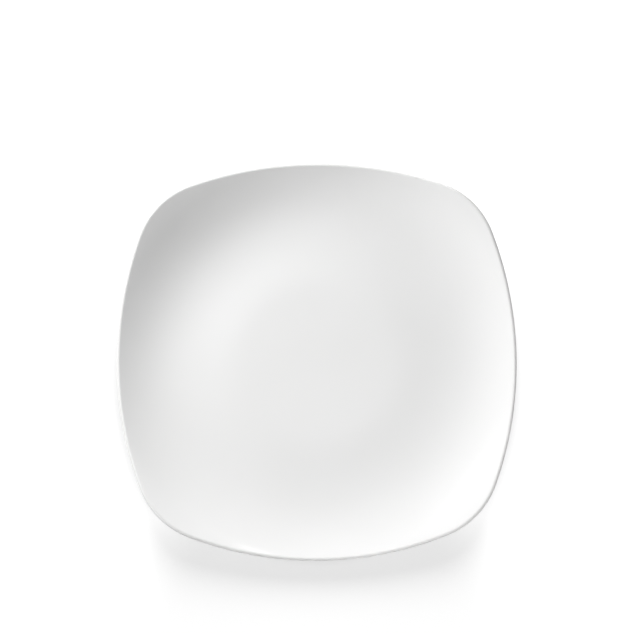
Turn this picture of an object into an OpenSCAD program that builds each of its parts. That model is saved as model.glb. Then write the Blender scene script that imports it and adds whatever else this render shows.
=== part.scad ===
// Square dinner plate with a round well, lifted corners and a rounded lip.
// The plate stands on its foot ring at z = 0, with the middle of the plate on the Z axis.

/* [Outline] */
// Width across the middles of two opposite sides
plate_width = 267; // [230:1:320]
// Radius of the bowed sides, seen from above
side_radius = 243; // [180:1:400]
// Radius of the rounded corners, seen from above
corner_radius = 57; // [30:1:80]

/* [Eating face] */
// Radius of the lowest ring of the eating face, where the wall starts to rise
well_radius = 88; // [70:1:95]
// Radius of the flat middle
flat_radius = 48; // [30:1:60]
// Rise of the flat middle above the lowest ring
middle_rise = 2; // [0.5:0.1:3]
// Slope of the wall, in degrees, where its bend ends
wall_slope = 33; // [15:1:35]
// Width over which the wall bends up from level to that slope
bend_width = 45; // [20:1:60]
// How late the wall bends up: 1 is an even bend, and more keeps the inner part flatter
bend_delay = 1.4; // [0.6:0.1:2.5]
// Distance beyond the middle of a side at which the slope of a corner has halved
corner_ease = 30; // [8:1:80]

/* [Thickness] */
// Thickness of the floor and the wall, with glaze on both faces
wall_thickness = 4.5; // [3.5:0.1:7]
// Thickness of the rounded lip, with its glaze; the wall tapers to it
lip_thickness = 3; // [2.4:0.1:6]
// Thickness of the glaze
glaze_thickness = 0.3; // [0.2:0.05:0.5]

/* [Foot ring] */
// Distance from the lowest ring of the eating face in to the outer side of the foot
foot_inset = 5; // [4:0.5:10]
// Width of the foot
foot_width = 4.5; // [3:0.1:8]
// Height of the glazed underside above the table
foot_height = 3.2; // [2.4:0.1:6]
// Radius of the rounded edges of the standing face
foot_edge_radius = 1; // [0.3:0.1:1.2]
// Radius of the hollow where the foot meets the underside
foot_fillet = 1.6; // [0.6:0.1:1.8]
// Height of the bare band above those rounded edges, wiped clean of glaze before firing
bare_band = 0.2; // [0:0.1:0.6]

/* [Hidden] */
$fn = 96;

// Facets of the squared loft: along one side, along one corner, and across each stretch of the section
side_facets = 12;
corner_facets = 8;
middle_facets = 4;
wall_facets = 6;
lip_facets = 6;

// Outline: four side arcs and four corner arcs that run into each other
half_width = plate_width / 2;
side_centre = side_radius - half_width;
arc_gap = side_radius - corner_radius;
corner_centre = (sqrt(2 * arc_gap * arc_gap - side_centre * side_centre) - side_centre) / 2;
side_sweep = atan2(corner_centre, corner_centre + side_centre);

// Heights
lip_radius = lip_thickness / 2;
lowest_z = foot_height + wall_thickness;
clay_underside = foot_height + glaze_thickness;
steepest = tan(wall_slope);
side_reach = half_width - well_radius;

// Foot ring
foot_outer = well_radius - foot_inset;
foot_inner = foot_outer - foot_width;
foot_seat = 1;
glaze_line = foot_edge_radius + bare_band;

// The lofted glaze laps over the turned glaze of the foot on the level ring just inside the lowest ring
lap_start = well_radius - foot_inset / 4;
lap_width = foot_inset / 8;

// Directions, in degrees, that the outline faces at each station around the plate
stations = [
    for (quarter = [0:3])
        each concat(
            [for (i = [0:side_facets - 1]) 90 * quarter + side_sweep * (2 * i / side_facets - 1)],
            [for (i = [0:corner_facets - 1])
                90 * quarter + side_sweep + (90 - 2 * side_sweep) * i / corner_facets]
        )
];
count = len(stations);
angle_slack = 0.001;

function unit(angle) = [cos(angle), sin(angle)];

// Turn of a station from the middle of the nearest side
function side_turn(angle) = angle - 90 * round(angle / 90);

// Point on the outline where it faces the given angle, moved in by an inset
function outline_point(angle, inset) =
    abs(side_turn(angle)) <= side_sweep + angle_slack
        ? (side_radius - inset) * unit(angle) - side_centre * unit(90 * round(angle / 90))
        : (corner_radius - inset) * unit(angle)
            + corner_centre * sqrt(2) * unit(90 * floor(angle / 90) + 45);

// Slope of the wall as rise over run, at a distance out from the lowest ring, without the corners' ease
function bend_grade(out) = steepest * pow(min(out / bend_width, 1), bend_delay);
// Height of the same wall above the lowest ring
function bend_rise(out) =
    bend_grade(out) * min(out, bend_width) / (bend_delay + 1) + steepest * max(out - bend_width, 0);

// Slope and height of the wall with the corners, which ease off beyond the middle of a side
function wall_grade(out) = bend_grade(min(out, side_reach)) / (1 + max(out - side_reach, 0) / corner_ease);
function wall_rise(out) =
    bend_rise(min(out, side_reach))
        + bend_grade(side_reach) * corner_ease * ln(1 + max(out - side_reach, 0) / corner_ease);

// Share of the way from the flat middle to the lowest ring
function fall_share(radius) = max(0, (radius - flat_radius) / (well_radius - flat_radius));

// Eating face: height and slope at a radius
function face_z(radius) =
    radius < well_radius
        ? lowest_z + middle_rise * (1 + cos(180 * fall_share(radius))) / 2
        : lowest_z + wall_rise(radius - well_radius);
function face_grade(radius) =
    radius < well_radius
        ? -middle_rise * PI / 2 * sin(180 * fall_share(radius)) / (well_radius - flat_radius)
        : wall_grade(radius - well_radius);

// Vertical measure of a thickness that is square to the sloping face
function upright(thickness, radius) = thickness * sqrt(1 + pow(face_grade(radius), 2));

// Station point between the round lowest ring and the squared rim
function flange_point(angle, share) =
    (1 - share) * well_radius * unit(angle) + share * outline_point(angle, lip_thickness);

// Rings of the section from the flat middle to the outer end of the underside, at a depth below the surface
function round_ring(radius, z) = [for (a = stations) [radius * cos(a), radius * sin(a), z]];
function face_ring(share, depth) = [
    for (a = stations)
        let (p = flange_point(a, share))
        [p.x, p.y, face_z(norm(p)) - upright(depth, norm(p))]
];
function under_ring(share, depth) = [
    for (a = stations)
        let (
            p = flange_point(a, share),
            thickness = wall_thickness + (lip_thickness - wall_thickness) * share * share
        )
        [p.x, p.y, face_z(norm(p)) - upright(thickness - depth, norm(p))]
];
function lip_ring(share, depth) = [
    for (a = stations)
        let (
            p = outline_point(a, lip_radius),
            radius = norm(p),
            slope = atan(face_grade(radius) * (p * unit(a)) / radius),
            turn = 90 + slope - 180 * share,
            spread = (lip_radius - depth) * cos(turn)
        )
        [
            p.x + spread * cos(a),
            p.y + spread * sin(a),
            face_z(radius) - upright(lip_radius, radius) + (lip_radius - depth) * sin(turn)
        ]
];
function dish_rings(depth) = concat(
    [
        for (i = [0:middle_facets])
            let (radius = flat_radius + (well_radius - flat_radius) * i / middle_facets)
            round_ring(radius, face_z(radius) - upright(depth, radius))
    ],
    [for (i = [1:wall_facets]) face_ring(i / wall_facets, depth)],
    [for (i = [0:lip_facets]) lip_ring(i / lip_facets, depth)],
    [for (i = [wall_facets:-1:0]) under_ring(i / wall_facets, depth)]
);

// Surface of the clay, just under the glaze
clay_rings = dish_rings(glaze_thickness);

// Closed solid through a stack of rings, capped flat at its first and last ring.
// From the fold on, the facets are split along the other diagonal, so that a skin that comes back
// along its own rings has the same facets as a solid inside it.
module loft(rings, fold) {
    last = len(rings) - 1;
    points = [for (ring = rings) each ring];
    sides = [
        for (r = [0:last - 1], i = [0:count - 1])
            let (
                here = r * count + i,
                beside = r * count + (i + 1) % count,
                above = here + count,
                across = beside + count
            )
            each r < fold
                ? [[here, across, above], [here, beside, across]]
                : [[here, beside, above], [beside, across, above]]
    ];
    first_cap = [for (i = [count - 1:-1:0]) i];
    last_cap = [for (i = [0:count - 1]) last * count + i];
    polyhedron(points, concat([first_cap], sides, [last_cap]));
}

// Quarter-round hollow between an upright side and the underside above it; way is 1 outwards, -1 inwards
module hollow(side, way) {
    difference() {
        translate([way > 0 ? side : side - foot_fillet, clay_underside - foot_fillet])
            square(foot_fillet);
        translate([side + way * foot_fillet, clay_underside - foot_fillet])
            circle(foot_fillet);
    }
}

// Right half of the foot's section, with its seat in the floor above it
module foot_section() {
    flat_width = foot_width - 2 * foot_edge_radius;
    for (middle = [foot_inner + foot_edge_radius, foot_outer - foot_edge_radius])
        translate([middle, foot_edge_radius])
            circle(foot_edge_radius);
    translate([foot_inner + foot_edge_radius, 0])
        square([flat_width, clay_underside]);
    translate([foot_inner, foot_edge_radius])
        square([foot_width, clay_underside - foot_edge_radius]);
    hollow(foot_outer, 1);
    hollow(foot_inner, -1);
    translate([foot_inner - foot_fillet, clay_underside])
        square([foot_width + 2 * foot_fillet, foot_seat]);
}

// Coat of glaze on one side of the foot, from the bare band up to the underside and along it to a radius
module foot_coat(side, way, reach) {
    hollow_foot = clay_underside - foot_fillet;
    start = side + way * foot_fillet;
    difference() {
        union() {
            translate([way > 0 ? side : side - glaze_thickness, 0])
                square([glaze_thickness, hollow_foot]);
            difference() {
                translate([way > 0 ? side : side - foot_fillet, hollow_foot])
                    square(foot_fillet);
                translate([start, hollow_foot])
                    circle(foot_fillet - glaze_thickness);
            }
            translate([min(start, reach), foot_height])
                square([abs(reach - start), glaze_thickness]);
        }
        hollow(side, way);
        square([well_radius, glaze_line]);
    }
}

// Fired clay: the lofted dish and the turned foot ring in one piece
module clay_body() {
    color("ivory")
        union() {
            loft(clay_rings, len(clay_rings));
            rotate_extrude() foot_section();
        }
}

// Glaze over the eating face, the lip and the outside, down to the bare band of the foot
module upper_glaze() {
    glazed_rings = dish_rings(0);
    skin = concat(
        glazed_rings,
        [round_ring(lap_start, foot_height), round_ring(lap_start, clay_underside)],
        [for (i = [len(clay_rings) - 1:-1:0]) clay_rings[i]]
    );
    color("white")
        union() {
            loft(skin, len(glazed_rings));
            rotate_extrude() foot_coat(foot_outer, 1, lap_start + lap_width);
        }
}

// Glaze in the recess inside the foot ring
module base_glaze() {
    color("whitesmoke")
        rotate_extrude() foot_coat(foot_inner, -1, 0);
}

clay_body();
upper_glaze();
base_glaze();
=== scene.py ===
# %% [markdown]
# A square dinner plate
#
# The plate is one piece of fired clay under a white glaze. Its eating face goes from a round well to a
# squared rim with four lifted corners, and it stands on a round foot ring that was wiped bare of glaze.
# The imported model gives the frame: every size below is in metres, with the table at z = 0 and the
# middle of the plate on the Z axis.

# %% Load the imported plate
import math

import bmesh
import bpy
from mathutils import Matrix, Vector


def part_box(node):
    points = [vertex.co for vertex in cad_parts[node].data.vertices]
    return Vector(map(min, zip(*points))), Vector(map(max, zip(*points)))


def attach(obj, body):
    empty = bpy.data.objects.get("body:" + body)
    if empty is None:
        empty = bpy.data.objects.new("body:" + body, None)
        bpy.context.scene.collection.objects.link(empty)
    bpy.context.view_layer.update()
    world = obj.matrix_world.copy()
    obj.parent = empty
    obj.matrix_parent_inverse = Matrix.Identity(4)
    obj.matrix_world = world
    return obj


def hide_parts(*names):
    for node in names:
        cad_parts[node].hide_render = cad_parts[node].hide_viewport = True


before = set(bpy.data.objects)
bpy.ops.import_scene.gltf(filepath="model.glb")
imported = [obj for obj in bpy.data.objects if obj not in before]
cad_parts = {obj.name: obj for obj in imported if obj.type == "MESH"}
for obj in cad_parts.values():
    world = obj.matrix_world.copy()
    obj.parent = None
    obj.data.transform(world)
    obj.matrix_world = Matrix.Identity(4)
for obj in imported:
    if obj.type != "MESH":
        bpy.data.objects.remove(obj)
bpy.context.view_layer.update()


def in_mm(length):
    return round(length * 1000, 1)


# %% [markdown]
# The sizes of the plate
#
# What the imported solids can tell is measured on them, so the looks stay fitted to the construction:
# the width, the foot ring's inner side, the line where the glaze stops and the clay's underside. The
# other sizes are the plate's own driving dimensions, each named once.

# %% Measure the frame and name the driving dimensions
half_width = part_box("upper_glaze")[1].x
foot_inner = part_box("base_glaze")[1].x
glaze_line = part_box("base_glaze")[0].z
clay_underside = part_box("base_glaze")[1].z

# Outline
side_radius = 0.243
corner_radius = 0.057

# Eating face
well_radius = 0.088
flat_radius = 0.048
middle_rise = 0.002
wall_slope = math.radians(33)
bend_width = 0.045
bend_delay = 1.4
corner_ease = 0.030

# Thickness
wall_thickness = 0.0045
lip_thickness = 0.003
glaze_thickness = 0.0003

# Foot ring
foot_width = 0.0045
foot_edge_radius = 0.001
foot_fillet = 0.0016

# What follows from these
lip_radius = lip_thickness / 2
wall_end = half_width - lip_thickness
foot_outer = foot_inner + foot_width
foot_height = clay_underside - glaze_thickness
lowest_height = foot_height + wall_thickness
print("half width", in_mm(half_width), "mm, foot from", in_mm(foot_inner), "mm")

# %% [markdown]
# The outline
#
# Seen from above, the plate has four gently bowed sides and four rounded corners. One could trace it
# with many points, but a potter's template for it is only two radii: a long arc for each side and a
# short arc for each corner, each running into the next. A point of the outline is found from the
# direction that the edge faces there, and an inset moves it square to the edge.

# %% Find points on the squared outline
quarter = math.pi / 2
side_centre = side_radius - half_width
arc_gap = side_radius - corner_radius
corner_centre = (math.sqrt(2 * arc_gap**2 - side_centre**2) - side_centre) / 2
side_sweep = math.atan2(corner_centre, corner_centre + side_centre)


def unit(angle):
    return Vector((math.cos(angle), math.sin(angle)))


def outline_point(facing, inset):
    """The outline's point that faces the given way, moved in by the inset."""
    middle_of_side = quarter * round(facing / quarter)
    if abs(facing - middle_of_side) <= side_sweep:
        return (side_radius - inset) * unit(facing) - side_centre * unit(middle_of_side)
    middle_of_corner = quarter * math.floor(facing / quarter) + quarter / 2
    return (corner_radius - inset) * unit(facing) + corner_centre * math.sqrt(2) * unit(middle_of_corner)


corner_reach = outline_point(quarter / 2, 0).length
print("corner to corner", in_mm(2 * corner_reach), "mm")

# %% [markdown]
# The eating face
#
# The middle is flat, falls a little to the lowest ring and then bends up into the wall. The corners
# reach further out than the sides, so their wall climbs higher, but it eases off as it goes. All of
# this depends only on the distance from the middle, so one formula for the height and one for the
# slope describe the whole face. A smooth formula also gives smooth shading, which a glossy white
# plate needs more than anything else.

# %% Give the face its height and slope
side_reach = half_width - well_radius


def fall_share(radius):
    """Share of the way from the flat middle to the lowest ring."""
    return max(0, (radius - flat_radius) / (well_radius - flat_radius))


def bend_grade(out):
    """Slope of the wall as rise over run, at a distance out from the lowest ring."""
    return math.tan(wall_slope) * min(out / bend_width, 1) ** bend_delay


def bend_rise(out):
    """Height of the same wall above the lowest ring."""
    beyond = max(out - bend_width, 0)
    return bend_grade(out) * min(out, bend_width) / (bend_delay + 1) + math.tan(wall_slope) * beyond


def easing(out):
    """What the slope of a corner is divided by: 1 as far as the sides reach, and more beyond."""
    return 1 + max(out - side_reach, 0) / corner_ease


def face_height(radius):
    if radius < well_radius:
        return lowest_height + middle_rise * (1 + math.cos(math.pi * fall_share(radius))) / 2
    out = radius - well_radius
    corner_rise = bend_grade(side_reach) * corner_ease * math.log(easing(out))
    return lowest_height + bend_rise(min(out, side_reach)) + corner_rise


def face_grade(radius):
    if radius < well_radius:
        fall = middle_rise * math.pi / 2 * math.sin(math.pi * fall_share(radius))
        return -fall / (well_radius - flat_radius)
    out = radius - well_radius
    return bend_grade(min(out, side_reach)) / easing(out)


def slant(radius):
    """Upright measure of a unit of thickness that is square to the sloping face."""
    return math.hypot(1, face_grade(radius))


corner_end = outline_point(quarter / 2, lip_thickness).length
print("the wall ends", in_mm(face_height(wall_end)), "mm above the table at the sides and",
      in_mm(face_height(corner_end)), "mm at the corners")

# %% [markdown]
# From round to squared
#
# A real plate of this form starts as a round one on the wheel or in the press, and its rim is drawn
# out to the squared outline. The mesh takes the same road: each piece is spun as a round plate from
# one section, and then every vertex beyond the well moves to its place on the squared plate. Up to the
# lowest ring nothing moves, so the well and the foot stay truly round.

# %% Draw the round plate out to the squared outline
def squared(point):
    """Where a point of the round plate lies on the squared one."""
    radius = math.hypot(point.x, point.y)
    if radius <= well_radius:
        return point
    facing = math.atan2(point.y, point.x)
    share = min((radius - well_radius) / (wall_end - well_radius), 1)
    inset = min(half_width - radius, lip_thickness)
    place = (1 - share) * well_radius * unit(facing) + share * outline_point(facing, inset)
    depth = (face_height(radius) - point.z) / slant(radius)
    return Vector((place.x, place.y, face_height(place.length) - depth * slant(place.length)))


round_rim = half_width * unit(quarter / 2)
squared_rim = squared(Vector((*round_rim, face_height(half_width))))
print("a corner is drawn out by", in_mm(squared_rim.xy.length - half_width), "mm")

# %% [markdown]
# The section of the dish
#
# Clay and glaze follow the same section at two depths: along the face, round the lip and back along
# the underside to the lowest ring. Only its corners are given here. The bevel operator later rounds the
# two corners of the lip, which is simpler than working out the points of an arc.

# %% Draw the section of the dish at a depth below its surface
flat_steps = 6
fall_steps = 14
wall_steps = 26
under_steps = 14
lip_segments = 8


def steps(start, end, count):
    return [start + (end - start) * i / count for i in range(count + 1)]


def corner(radius, height, rounding=0, segments=0):
    """A corner of a section, which stays sharp unless it has a rounding radius and segments."""
    return radius, height, rounding, segments


def under_height(radius, depth):
    share = (radius - well_radius) / (wall_end - well_radius)
    thickness = wall_thickness + (lip_thickness - wall_thickness) * share**2
    return face_height(radius) - (thickness - depth) * slant(radius)


def dish_section(depth):
    """Corners from the middle of the face, round the lip, to the lowest ring of the underside."""
    radii = steps(0, flat_radius, flat_steps)
    radii += steps(flat_radius, well_radius, fall_steps)[1:]
    radii += steps(well_radius, wall_end, wall_steps)[1:]
    face = [corner(r, face_height(r) - depth * slant(r)) for r in radii]
    lip_middle = half_width - lip_radius
    slope = math.atan(face_grade(lip_middle))
    centre = Vector((lip_middle, face_height(lip_middle) - lip_radius * slant(lip_middle)))
    rounding = lip_radius - depth
    outwards = rounding * unit(slope)
    upwards = rounding * unit(slope + quarter)
    lip = [corner(*(centre + outwards + side * upwards), rounding, lip_segments) for side in (1, -1)]
    under = [corner(r, under_height(r, depth)) for r in steps(wall_end, well_radius, under_steps)]
    return face + lip + under


print("corners in the glaze's section:", len(dish_section(0)))

# %% [markdown]
# Spinning a section
#
# The corners become a chain of edges in the XZ plane. The bevel operator rounds those that have a
# radius, the spin operator turns the chain once round the Z axis, and the doubles at the pole are
# merged. Normals are recalculated once the surface is whole, before it is drawn out to the squared
# outline. Each vertex also notes how far out on the lip it lies, because a glaze runs thin there while
# it melts.

# %% Spin a section
spin_steps = 288
merge_distance = 1e-6


def spun_plate(section):
    """A bmesh of the section turned round the Z axis and drawn out to the squared outline."""
    bm = bmesh.new()
    chain = [bm.verts.new((radius, 0, height)) for radius, height, _, _ in section]
    for here, there in zip(chain, chain[1:]):
        bm.edges.new((here, there))
    for vert, (_, _, rounding, segments) in zip(chain, section):
        if segments:
            bmesh.ops.bevel(bm, geom=[vert], affect="VERTICES", offset=rounding,
                            segments=segments, profile=0.5, material=-1)
    bmesh.ops.remove_doubles(bm, verts=bm.verts[:], dist=merge_distance)
    bmesh.ops.spin(bm, geom=bm.verts[:] + bm.edges[:], cent=(0, 0, 0), axis=(0, 0, 1),
                   angle=math.tau, steps=spin_steps, use_merge=True)
    bmesh.ops.remove_doubles(bm, verts=bm.verts[:], dist=merge_distance)
    bmesh.ops.recalc_face_normals(bm, faces=bm.faces[:])
    lip = bm.verts.layers.float.new("lip")
    for vert in bm.verts:
        vert[lip] = max(0, (vert.co.xy.length - wall_end) / lip_thickness)
        vert.co = squared(vert.co)
    bm.normal_update()
    return bm


print("facets along the rim:", in_mm(math.tau * half_width / spin_steps), "mm long before it is squared")

# %% [markdown]
# The glaze over the face and the outside
#
# The glaze is a skin of glass 0.3 mm thick. It covers the eating face, wraps the lip, runs down the
# outside and stops on the foot at the line where it was wiped away. One open sheet is spun at the
# outer surface, and solidify gives it its thickness towards the clay. A finished piece then rides on
# the plate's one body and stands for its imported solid.

# %% Make the glaze of the face and the outside
foot_segments = 6


def finished_piece(bm, name, node):
    """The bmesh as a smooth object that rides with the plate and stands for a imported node."""
    mesh = bpy.data.meshes.new(name)
    bm.to_mesh(mesh)
    bm.free()
    mesh.shade_smooth()
    piece = bpy.data.objects.new(name, mesh)
    bpy.context.scene.collection.objects.link(piece)
    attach(piece, "root")
    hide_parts(node)
    print(name, "has", len(mesh.polygons), "faces and is", in_mm(piece.dimensions.x), "mm wide")
    return piece


def coated(bm):
    """Gives an open sheet the thickness of the glaze, towards its inner side."""
    bmesh.ops.solidify(bm, geom=bm.faces[:], thickness=glaze_thickness)
    return bm


glazed_outer = foot_outer + glaze_thickness
glazed_fillet = foot_fillet - glaze_thickness
upper_section = dish_section(0) + [
    corner(glazed_outer, foot_height, glazed_fillet, foot_segments),
    corner(glazed_outer, glaze_line),
]
face_and_outside_glaze = finished_piece(
    coated(spun_plate(upper_section)), "face_and_outside_glaze", "upper_glaze")

# %% [markdown]
# The clay body
#
# Under the glaze lies the clay, which shows only on the standing face of the foot ring. Its section is
# the dish's, one glaze thickness deeper, closed by the foot ring and the recess inside it. Two corners
# of the foot are rounded edges and two are hollow fillets, and the bevel operator makes all four.

# %% Make the clay body
clay_section = dish_section(glaze_thickness) + [
    corner(foot_outer, clay_underside, foot_fillet, foot_segments),
    corner(foot_outer, 0, foot_edge_radius, foot_segments),
    corner(foot_inner, 0, foot_edge_radius, foot_segments),
    corner(foot_inner, clay_underside, foot_fillet, foot_segments),
    corner(0, clay_underside),
]
clay_body = finished_piece(spun_plate(clay_section), "fired_clay_body", "clay_body")

# %% [markdown]
# The glaze inside the foot ring
#
# The recess under the plate is glazed too, down to the same line on the inner side of the foot. It is
# a shallow dish of glass, spun from a flat line, one hollow corner and a short upright.

# %% Make the glaze inside the foot ring
glazed_inner = foot_inner - glaze_thickness
base_section = [corner(radius, foot_height) for radius in steps(0, flat_radius, flat_steps)]
base_section += [
    corner(glazed_inner, foot_height, glazed_fillet, foot_segments),
    corner(glazed_inner, glaze_line),
]
foot_recess_glaze = finished_piece(
    coated(spun_plate(base_section)), "foot_recess_glaze", "base_glaze")

# %% [markdown]
# Building blocks for the finishes
#
# A finish is a small graph of nodes: noise for what varies, a range that the noise is spread over, a
# blend of two colours, and a bump where the surface isn't level. Each of these is a short function
# here, so that a material reads as a list of what one would see. Noise reads Object coordinates, which
# are metres on the plate, so a scale of 100 gives patches of about 10 mm.

# %% Make the building blocks
noise_low = 0.3
noise_high = 0.7


def new_material(name):
    """A material, its node tree, its Principled shader and its Object coordinates."""
    material = bpy.data.materials.new(name)
    material.use_nodes = True
    tree = material.node_tree
    coordinates = tree.nodes.new("ShaderNodeTexCoord").outputs["Object"]
    return material, tree, tree.nodes["Principled BSDF"], coordinates


def noise(tree, coordinates, scale, detail):
    node = tree.nodes.new("ShaderNodeTexNoise")
    node.inputs["Scale"].default_value = scale
    node.inputs["Detail"].default_value = detail
    tree.links.new(coordinates, node.inputs["Vector"])
    return node.outputs["Fac"]


def ranged(tree, value, low, high):
    """The middle of a noise's range, spread over low to high."""
    node = tree.nodes.new("ShaderNodeMapRange")
    node.inputs["From Min"].default_value = noise_low
    node.inputs["From Max"].default_value = noise_high
    node.inputs["To Min"].default_value = low
    node.inputs["To Max"].default_value = high
    tree.links.new(value, node.inputs["Value"])
    return node.outputs["Result"]


def blended(tree, share, first, second):
    """A colour that goes from the first to the second. The first may come from another node."""
    node = tree.nodes.new("ShaderNodeMix")
    node.data_type = "RGBA"
    tree.links.new(share, node.inputs["Factor"])
    if isinstance(first, tuple):
        node.inputs["A"].default_value = (*first, 1)
    else:
        tree.links.new(first, node.inputs["A"])
    node.inputs["B"].default_value = (*second, 1)
    return node.outputs["Result"]


def bumped(tree, height, depth, normal=None):
    """A normal from a height, over an earlier normal if there is one."""
    node = tree.nodes.new("ShaderNodeBump")
    node.inputs["Distance"].default_value = depth
    tree.links.new(height, node.inputs["Height"])
    if normal is not None:
        tree.links.new(normal, node.inputs["Normal"])
    return node.outputs["Normal"]


print("noise from", noise_low, "to", noise_high, "is spread over each range")

# %% [markdown]
# The white glaze
#
# A white glaze looks even from a step away. Close up, its tone drifts a little, it is a touch thinner
# and greyer along the lip, and its melted surface has a faint waviness and a fine ripple that only the
# reflections show. The lip's grey follows the note on its vertices, and plain noise gives the rest,
# each at its own scale.

# %% Make the white glaze
shaded_white = (0.85, 0.85, 0.846)
clear_white = (0.866, 0.866, 0.864)
lip_grey = (0.82, 0.818, 0.81)
wave_depth = 0.00006
ripple_depth = 0.000006


def white_glaze():
    material, tree, shader, coordinates = new_material("glossy_white_glaze")
    drift = ranged(tree, noise(tree, coordinates, scale=14, detail=2), low=0, high=1)
    tone = blended(tree, drift, shaded_white, clear_white)
    lip = tree.nodes.new("ShaderNodeAttribute")
    lip.attribute_name = "lip"
    tone = blended(tree, lip.outputs["Fac"], tone, lip_grey)
    tree.links.new(tone, shader.inputs["Base Color"])
    shine = ranged(tree, noise(tree, coordinates, scale=70, detail=3), low=0.07, high=0.12)
    tree.links.new(shine, shader.inputs["Roughness"])
    waves = bumped(tree, noise(tree, coordinates, scale=45, detail=1), wave_depth)
    ripple = bumped(tree, noise(tree, coordinates, scale=420, detail=2), ripple_depth, waves)
    tree.links.new(ripple, shader.inputs["Normal"])
    return material


face_and_outside_glaze.data.materials.append(white_glaze())
print("glaze on", face_and_outside_glaze.name)

# %% [markdown]
# The bare clay
#
# Where the foot was wiped, the clay body is matt and slightly warm, with a fine grain. Standing and
# sliding on tables greys it in patches. The range of the scuffs starts below zero, so that about half
# of the foot stays clean.

# %% Make the bare clay
clay_shade = (0.80, 0.775, 0.72)
clay_light = (0.88, 0.86, 0.815)
scuff_grey = (0.70, 0.685, 0.65)
grain_depth = 0.00008


def bare_clay():
    material, tree, shader, coordinates = new_material("bare_fired_clay")
    grain = noise(tree, coordinates, scale=1600, detail=4)
    tone = blended(tree, ranged(tree, grain, low=0, high=1), clay_shade, clay_light)
    scuffs = ranged(tree, noise(tree, coordinates, scale=120, detail=5), low=-0.6, high=0.7)
    tone = blended(tree, scuffs, tone, scuff_grey)
    tree.links.new(tone, shader.inputs["Base Color"])
    tree.links.new(ranged(tree, grain, low=0.75, high=0.95), shader.inputs["Roughness"])
    tree.links.new(bumped(tree, grain, grain_depth), shader.inputs["Normal"])
    return material


clay_body.data.materials.append(bare_clay())
print("bare clay on", clay_body.name)

# %% [markdown]
# The glaze of the recess
#
# Nobody looks at the recess, so its glaze is thinner and less even: a little warmer where the clay
# shows through, with the faint rings that the turning tool left in the clay, and a few pinholes. A wave
# texture in rings draws the first, and the middles of Voronoi cells place the second.

# %% Make the glaze of the recess
warmer_white = (0.83, 0.825, 0.80)
recess_white = (0.862, 0.862, 0.855)
ring_scale = 90
ring_wobble = 1.5
ring_depth = 0.00002
pinhole_scale = 130
pinhole_share = 0.05
pinhole_depth = 0.00005


def turning_rings(tree, coordinates):
    rings = tree.nodes.new("ShaderNodeTexWave")
    rings.wave_type = "RINGS"
    rings.rings_direction = "Z"
    rings.inputs["Scale"].default_value = ring_scale
    rings.inputs["Distortion"].default_value = ring_wobble
    tree.links.new(coordinates, rings.inputs["Vector"])
    return rings.outputs["Fac"]


def pinholes(tree, coordinates):
    """0 at the bottom of a pinhole and 1 on the level glaze around it."""
    cells = tree.nodes.new("ShaderNodeTexVoronoi")
    cells.inputs["Scale"].default_value = pinhole_scale
    tree.links.new(coordinates, cells.inputs["Vector"])
    level = tree.nodes.new("ShaderNodeMapRange")
    level.inputs["From Max"].default_value = pinhole_share
    tree.links.new(cells.outputs["Distance"], level.inputs["Value"])
    return level.outputs["Result"]


def recess_glaze():
    material, tree, shader, coordinates = new_material("uneven_recess_glaze")
    drift = ranged(tree, noise(tree, coordinates, scale=22, detail=3), low=0, high=1)
    tree.links.new(blended(tree, drift, warmer_white, recess_white), shader.inputs["Base Color"])
    shine = ranged(tree, noise(tree, coordinates, scale=55, detail=3), low=0.10, high=0.22)
    tree.links.new(shine, shader.inputs["Roughness"])
    turned = bumped(tree, turning_rings(tree, coordinates), ring_depth)
    pitted = bumped(tree, pinholes(tree, coordinates), pinhole_depth, turned)
    tree.links.new(pitted, shader.inputs["Normal"])
    return material


foot_recess_glaze.data.materials.append(recess_glaze())
print("glaze on", foot_recess_glaze.name)

# %% [markdown]
# The finish of the floor
#
# The plate stands on a pale, even floor that the photograph shows as pure white, apart from one soft
# shadow in front of the plate. More light would bleach the plate too, so the floor glows instead, and
# only where the camera or a reflection sees it. The glow is weaker in front of the plate, which leaves
# the shadow room to show, and weakest under it. Light and glow add up to white everywhere else. A
# bearing here runs from -1 straight in front of the plate to 1 straight behind it.

# %% Make the finish of the floor
white = (1, 1, 1, 1)
floor_grey = (0.6, 0.6, 0.6, 1)
front_bearings = (-0.87, -0.58)
shadow_distances = (0.21, 0.30)
shadow_glow = 0.75
under_distances = (0.09, 0.165)
under_glow = 0.25


def combined(tree, operation, first, second):
    node = tree.nodes.new("ShaderNodeMath")
    node.operation = operation
    tree.links.new(first, node.inputs[0])
    tree.links.new(second, node.inputs[1])
    return node.outputs[0]


def seen_directly(tree):
    """1 for camera, glossy and transmission rays, which show the background, and 0 for light."""
    path = tree.nodes.new("ShaderNodeLightPath")
    seen = path.outputs["Is Camera Ray"]
    for ray in ("Is Glossy Ray", "Is Transmission Ray"):
        seen = combined(tree, "MAXIMUM", seen, path.outputs[ray])
    return seen


def glow_over(tree, value, stretch, low):
    """A glow that climbs smoothly from low to 1 over a stretch of the value."""
    node = tree.nodes.new("ShaderNodeMapRange")
    node.interpolation_type = "SMOOTHSTEP"
    start, end = stretch
    node.inputs["From Min"].default_value = start
    node.inputs["From Max"].default_value = end
    node.inputs["To Min"].default_value = low
    tree.links.new(value, node.inputs["Value"])
    return node.outputs["Result"]


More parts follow.
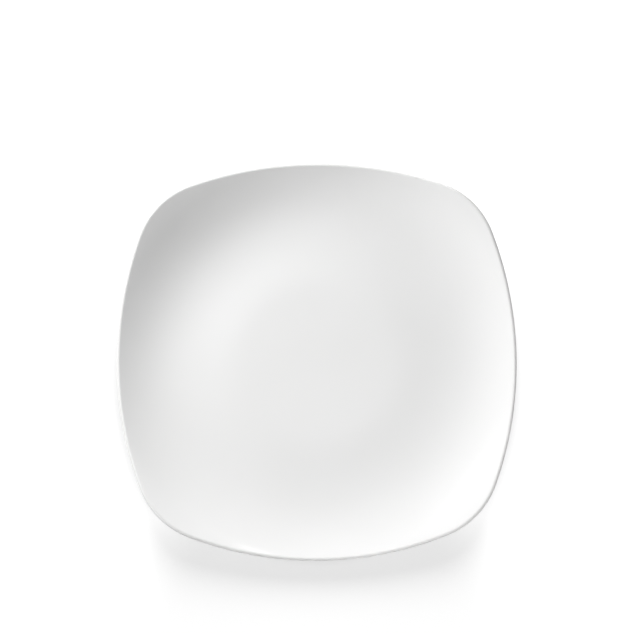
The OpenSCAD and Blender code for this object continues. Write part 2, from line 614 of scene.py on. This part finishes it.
def pale_floor():
    material, tree, shader, coordinates = new_material("pale_floor")
    shader.inputs["Base Color"].default_value = floor_grey
    shader.inputs["Roughness"].default_value = 1
    shader.inputs["Specular IOR Level"].default_value = 0
    away = tree.nodes.new("ShaderNodeVectorMath")
    away.operation = "LENGTH"
    tree.links.new(coordinates, away.inputs[0])
    distance = away.outputs["Value"]
    axes = tree.nodes.new("ShaderNodeSeparateXYZ")
    tree.links.new(coordinates, axes.inputs[0])
    bearing = combined(tree, "DIVIDE", axes.outputs["Y"], distance)
    beside_or_behind = glow_over(tree, bearing, front_bearings, shadow_glow)
    far = glow_over(tree, distance, shadow_distances, shadow_glow)
    under = glow_over(tree, distance, under_distances, under_glow)
    glow = combined(tree, "MINIMUM", combined(tree, "MAXIMUM", beside_or_behind, far), under)
    strength = combined(tree, "MULTIPLY", glow, seen_directly(tree))
    shader.inputs["Emission Color"].default_value = white
    tree.links.new(strength, shader.inputs["Emission Strength"])
    return material


floor_finish = pale_floor()
print("floor finish", floor_finish.name)

# %% [markdown]
# The floor
#
# The floor is one large flat face. Its far edge doesn't show, because the floor and the background are
# both white there. It lies a hair below the table plane, because two faces in one plane would show
# through each other where the foot ring stands.

# %% Lay the floor
floor_size = 12
floor_drop = 0.0002

floor_bm = bmesh.new()
bmesh.ops.create_grid(floor_bm, size=floor_size / 2)
bmesh.ops.translate(floor_bm, verts=floor_bm.verts[:], vec=(0, 0, -floor_drop))
floor_mesh = bpy.data.meshes.new("floor")
floor_bm.to_mesh(floor_mesh)
floor_bm.free()
floor = bpy.data.objects.new("floor", floor_mesh)
bpy.context.scene.collection.objects.link(floor)
floor_mesh.materials.append(floor_finish)
print("floor of", floor_size, "m")

# %% [markdown]
# Soft boxes
#
# A soft box is a lamp behind a sheet of white cloth, and an area lamp in the form of a disk stands for
# it. Two angles and a distance give its place. Its brightness is a share of white, which is easier to
# judge than watts. Light linking keeps each box to the objects that it is for, and a box that would
# mirror as a hard white spot in the glaze can be kept out of reflections.

# %% Make soft boxes
def lit_group(name, *members):
    """A collection that a lamp's light is kept to."""
    group = bpy.data.collections.new(name)
    for member in members:
        group.objects.link(member)
    return group


def soft_box(name, azimuth, elevation, distance, width, brightness, lit, mirrored=True):
    """A round lamp facing the plate; brightness 1 would make a white sheet that faces it white."""
    data = bpy.data.lights.new(name, "AREA")
    data.shape = "DISK"
    data.size = width
    data.energy = brightness * math.pi**2 * distance**2
    lamp = bpy.data.objects.new(name, data)
    turn, rise = math.radians(azimuth), math.radians(elevation)
    towards = Vector((math.cos(rise) * math.cos(turn), math.cos(rise) * math.sin(turn), math.sin(rise)))
    lamp.location = towards * distance
    lamp.rotation_euler = towards.to_track_quat("Z", "Y").to_euler()
    lamp.light_linking.receiver_collection = lit
    lamp.visible_glossy = mirrored
    bpy.context.scene.collection.objects.link(lamp)
    print(name, round(data.energy, 1), "W")


plate_only = lit_group("plate_alone", face_and_outside_glaze, clay_body, foot_recess_glaze)
floor_only = lit_group("floor_alone", floor)
print("light is kept to", plate_only.name, "or", floor_only.name)

# %% [markdown]
# The light
#
# A white plate shows its form by shading alone. The main soft box stands low and near at the back left:
# it leaves the wall next to it in shade, brightens the wall opposite, and falls off across the plate, so
# that the bright side doesn't bleach. A fill in front on the right opens up the shaded wall. Reflections
# don't see these two. They do see two weak boxes, low at the back and the left, which draw the lip as a
# fine line. All four light the plate alone. A box of its own lights the floor from behind, so that the
# plate's shadow falls only in front of it.

# %% Set up the light
soft_box("main_soft_box", azimuth=137, elevation=27, distance=1.3, width=0.7,
         brightness=1.185, lit=plate_only, mirrored=False)
soft_box("back_soft_box", azimuth=75, elevation=10, distance=2, width=0.95,
         brightness=0.4, lit=plate_only)
soft_box("left_soft_box", azimuth=215, elevation=10, distance=2, width=0.95,
         brightness=0.16, lit=plate_only)
soft_box("front_fill", azimuth=296, elevation=40, distance=1.1, width=0.7,
         brightness=0.58, lit=plate_only, mirrored=False)
soft_box("floor_soft_box", azimuth=90, elevation=44, distance=2, width=1.5,
         brightness=0.78, lit=floor_only)

# %% [markdown]
# The world
#
# The background is white where the camera or a reflection sees it, and dim where it only gives light,
# so that the white surroundings don't wash out the shading of a white plate.

# %% Make the world
world_light = 0.02


def white_world():
    world = bpy.data.worlds.new("white_surroundings")
    world.use_nodes = True
    tree = world.node_tree
    background = tree.nodes["Background"]
    background.inputs["Color"].default_value = white
    strength = tree.nodes.new("ShaderNodeMapRange")
    strength.inputs["To Min"].default_value = world_light
    tree.links.new(seen_directly(tree), strength.inputs["Value"])
    tree.links.new(strength.outputs["Result"], background.inputs["Strength"])
    return world


bpy.context.scene.world = white_world()
bpy.context.scene.view_settings.view_transform = "Standard"
print("world light", world_light)

# %% [markdown]
# The camera
#
# The photograph looks almost straight down with a long lens, from the side of the lower edge. The plate
# sits below the middle of the picture, so the camera aims at a point beyond the plate's middle, and it
# rolls by the half degree that the plate is turned.

# %% Set up the camera
picture_pixels = 634
plate_pixels = 400.6
plate_middle = Vector((316.3, 360.6))
camera_elevation = math.radians(83)
camera_roll = math.radians(-0.47)
camera_distance = 3.0

metres_per_pixel = 2 * half_width / plate_pixels
back = Vector((0, -math.cos(camera_elevation), math.sin(camera_elevation)))
right = Vector((1, 0, 0))
up = back.cross(right)
rim_middle = Vector((0, 0, face_height(half_width)))
offset = (Vector((picture_pixels / 2, picture_pixels / 2)) - plate_middle) * metres_per_pixel
aim = rim_middle + offset.x * right - offset.y * up

lens = bpy.data.cameras.new("photo_camera")
lens.lens = lens.sensor_width * camera_distance / (picture_pixels * metres_per_pixel)
camera = bpy.data.objects.new("photo_camera", lens)
camera.location = aim + camera_distance * back
camera.rotation_euler = (-back).to_track_quat("-Z", "Y").to_euler()
camera.rotation_euler.rotate_axis("Z", camera_roll)
bpy.context.scene.collection.objects.link(camera)
bpy.context.scene.camera = camera
print("lens", round(lens.lens), "mm at", camera_distance, "m")
